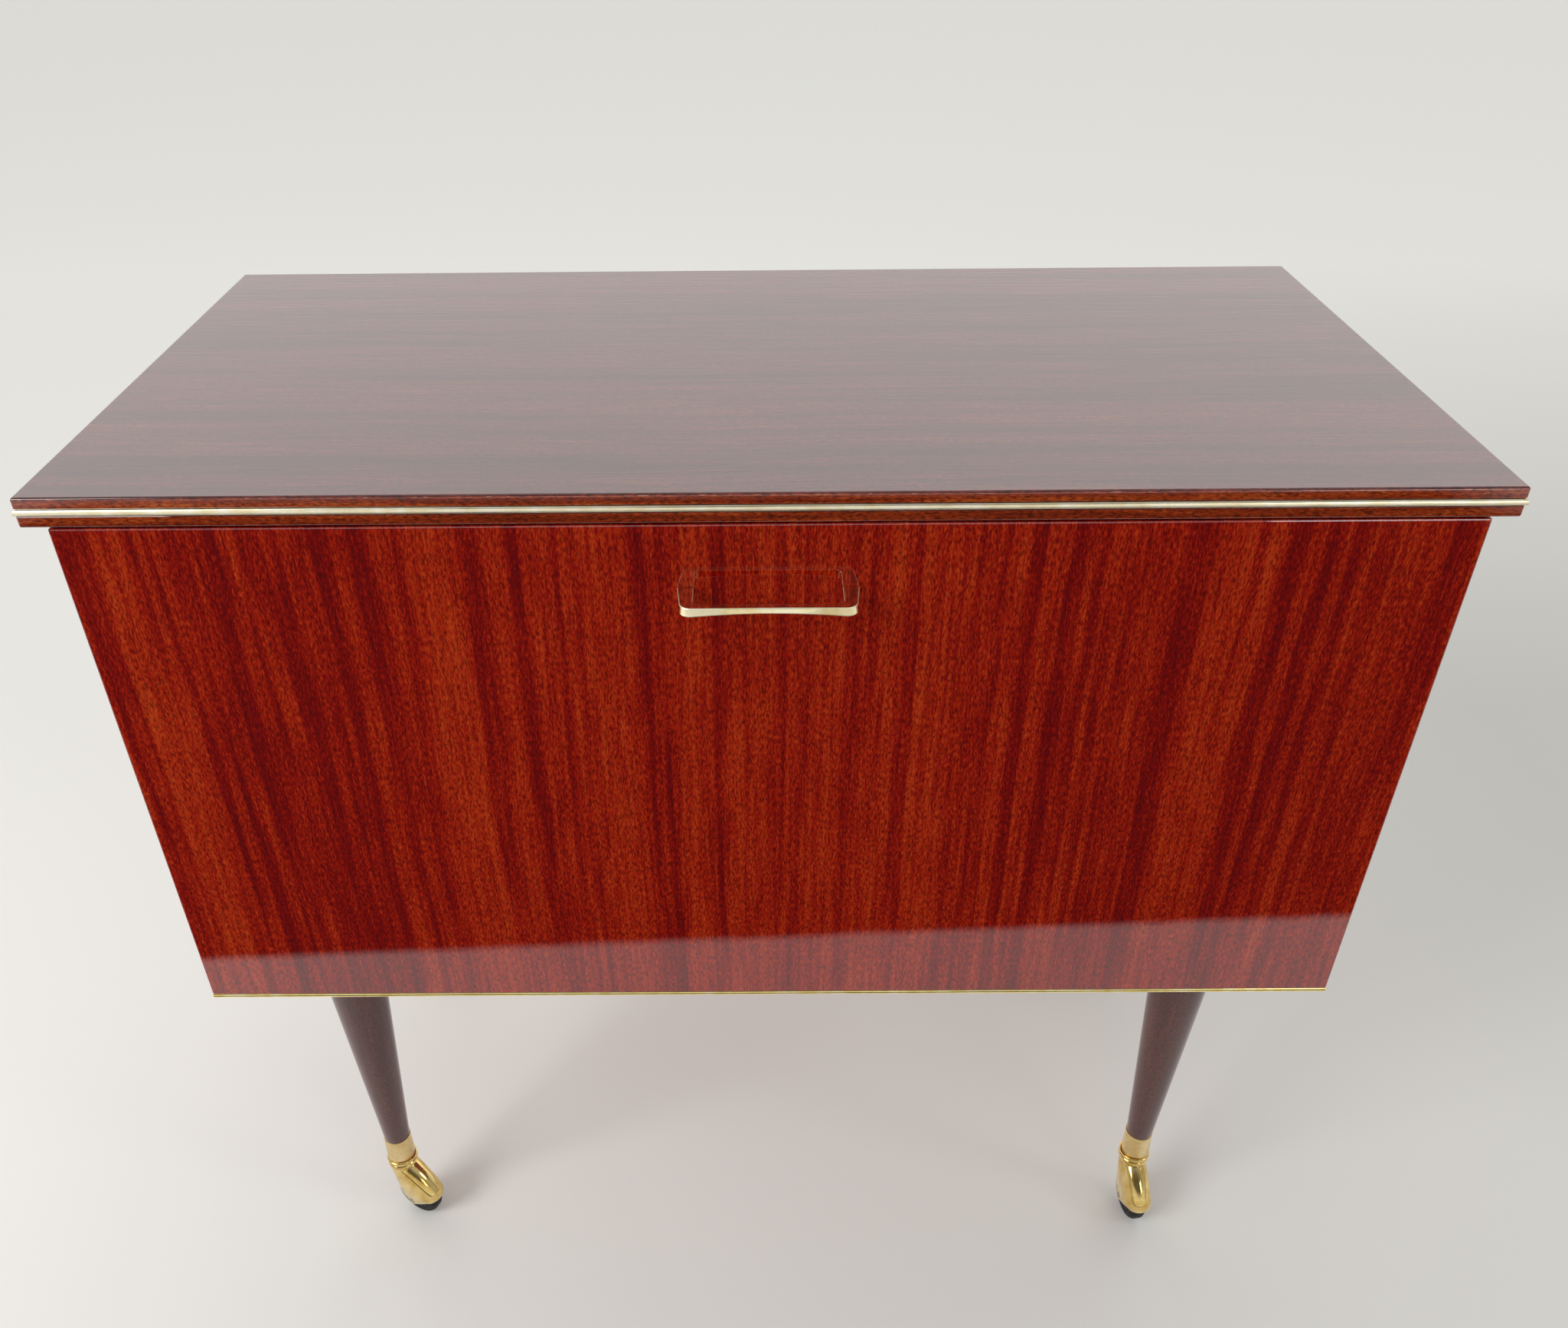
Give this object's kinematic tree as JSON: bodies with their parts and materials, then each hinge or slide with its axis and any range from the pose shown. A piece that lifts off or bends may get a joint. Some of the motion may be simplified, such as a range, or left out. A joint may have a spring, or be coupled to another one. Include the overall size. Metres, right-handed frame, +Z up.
{
  "type": "bar cabinet",
  "caption": "Drop-front bar cabinet in glossy mahogany veneer with brass beads, a fold-down flap on slotted stays, mirrored inside with a glass shelf, on tapered legs with hooded casters.",
  "frame": {"origin": "on the floor under the middle of the bounding box", "axes": "+X to the right along the front, +Y from front to back, +Z up; the flap faces -Y"},
  "size_m": [0.8526, 0.43, 0.733],
  "materials": {
    "mahogany": "high-gloss clear lacquer over striped mahogany veneer",
    "leg_wood": "red-brown stain under gloss lacquer",
    "plywood": "thin stain, open grain",
    "brass": "polished and lacquered",
    "steel": "bright zinc plate",
    "wheel_rubber": "moulded black, slightly glossy",
    "catch_plastic": "moulded brown",
    "mirror": "silvered float glass with ground edges",
    "shelf_glass": "clear float glass with ground edges"
  },
  "bodies": {
    "carcass": {"top_panel": "mahogany", "top_bead": "brass", "side_panel_left": "mahogany", "side_panel_right": "mahogany", "bottom_panel": "mahogany", "back_panel": "plywood", "top_rail_front": "mahogany", "top_rail_back": "mahogany", "hinge_leaf_carcass": "brass", "hinge_pin": "steel", "stay_stud_left": "brass", "stay_stud_right": "brass", "catch_body": "catch_plastic", "catch_magnet": "steel", "mirror": "mirror", "glass_shelf": "shelf_glass", "shelf_pin_front_left": "brass", "shelf_pin_front_right": "brass", "shelf_pin_back_left": "brass", "shelf_pin_back_right": "brass", "leg_front_left": "leg_wood", "leg_front_right": "leg_wood", "leg_back_left": "leg_wood", "leg_back_right": "leg_wood", "leg_plate_front_left": "steel", "leg_plate_front_right": "steel", "leg_plate_back_left": "steel", "leg_plate_back_right": "steel", "ferrule_front_left": "brass", "ferrule_front_right": "brass", "ferrule_back_left": "brass", "ferrule_back_right": "brass"},
    "flap": {"flap_panel": "mahogany", "flap_bead": "brass", "handle": "brass", "hinge_leaf_flap": "brass", "stay_bracket_left": "brass", "stay_bracket_right": "brass", "stay_rivet_left": "brass", "stay_rivet_right": "brass", "strike_plate": "steel"},
    "stay_left": {"stay_arm_left": "brass"},
    "stay_right": {"stay_arm_right": "brass"},
    "caster_front_left": {"caster_hood_front_left": "brass", "caster_axle_front_left": "steel", "caster_stem_front_left": "steel"},
    "wheel_front_left": {"caster_wheel_front_left": "wheel_rubber"},
    "caster_front_right": {"caster_hood_front_right": "brass", "caster_axle_front_right": "steel", "caster_stem_front_right": "steel"},
    "wheel_front_right": {"caster_wheel_front_right": "wheel_rubber"},
    "caster_back_left": {"caster_hood_back_left": "brass", "caster_axle_back_left": "steel", "caster_stem_back_left": "steel"},
    "wheel_back_left": {"caster_wheel_back_left": "wheel_rubber"},
    "caster_back_right": {"caster_hood_back_right": "brass", "caster_axle_back_right": "steel", "caster_stem_back_right": "steel"},
    "wheel_back_right": {"caster_wheel_back_right": "wheel_rubber"}
  },
  "joints": [
    {"name": "flap_hinge", "type": "hinge", "parent": "carcass", "child": "flap", "pos_m": [0, -0.172, 0.3195], "axis": [1, 0, 0], "range_deg": [0, 90]},
    {"name": "stay_pivot_left", "type": "hinge", "parent": "flap", "child": "stay_left", "pos_m": [-0.38715, -0.16, 0.51747], "axis": [1, 0, 0], "range_deg": [-45, 0]},
    {"name": "stay_pivot_right", "type": "hinge", "parent": "flap", "child": "stay_right", "pos_m": [0.38715, -0.16, 0.51747], "axis": [1, 0, 0], "range_deg": [-45, 0]},
    {"name": "swivel_front_left", "type": "hinge", "parent": "carcass", "child": "caster_front_left", "pos_m": [-0.322, -0.143, 0.07], "axis": [0, 0, 1], "continuous": true},
    {"name": "wheel_spin_front_left", "type": "hinge", "parent": "caster_front_left", "child": "wheel_front_left", "pos_m": [-0.3114, -0.14863, 0.02074], "axis": [0.4695, 0.8829, 0], "continuous": true},
    {"name": "swivel_front_right", "type": "hinge", "parent": "carcass", "child": "caster_front_right", "pos_m": [0.322, -0.143, 0.07], "axis": [0, 0, 1], "continuous": true},
    {"name": "wheel_spin_front_right", "type": "hinge", "parent": "caster_front_right", "child": "wheel_front_right", "pos_m": [0.32346, -0.15491, 0.02074], "axis": [0.9925, 0.1219, 0], "continuous": true},
    {"name": "swivel_back_left", "type": "hinge", "parent": "carcass", "child": "caster_back_left", "pos_m": [-0.322, 0.168, 0.07], "axis": [0, 0, 1], "continuous": true},
    {"name": "wheel_spin_back_left", "type": "hinge", "parent": "caster_back_left", "child": "wheel_back_left", "pos_m": [-0.316, 0.15761, 0.02074], "axis": [0.866, 0.5, 0], "continuous": true},
    {"name": "swivel_back_right", "type": "hinge", "parent": "carcass", "child": "caster_back_right", "pos_m": [0.322, 0.168, 0.07], "axis": [0, 0, 1], "continuous": true},
    {"name": "wheel_spin_back_right", "type": "hinge", "parent": "caster_back_right", "child": "wheel_back_right", "pos_m": [0.3195, 0.15626, 0.02074], "axis": [0.9781, -0.2079, 0], "continuous": true}
  ],
  "couplings": [
    {"joint": "stay_pivot_left", "follows": "flap_hinge", "ratio": -0.5},
    {"joint": "stay_pivot_right", "follows": "flap_hinge", "ratio": -0.5}
  ]
}
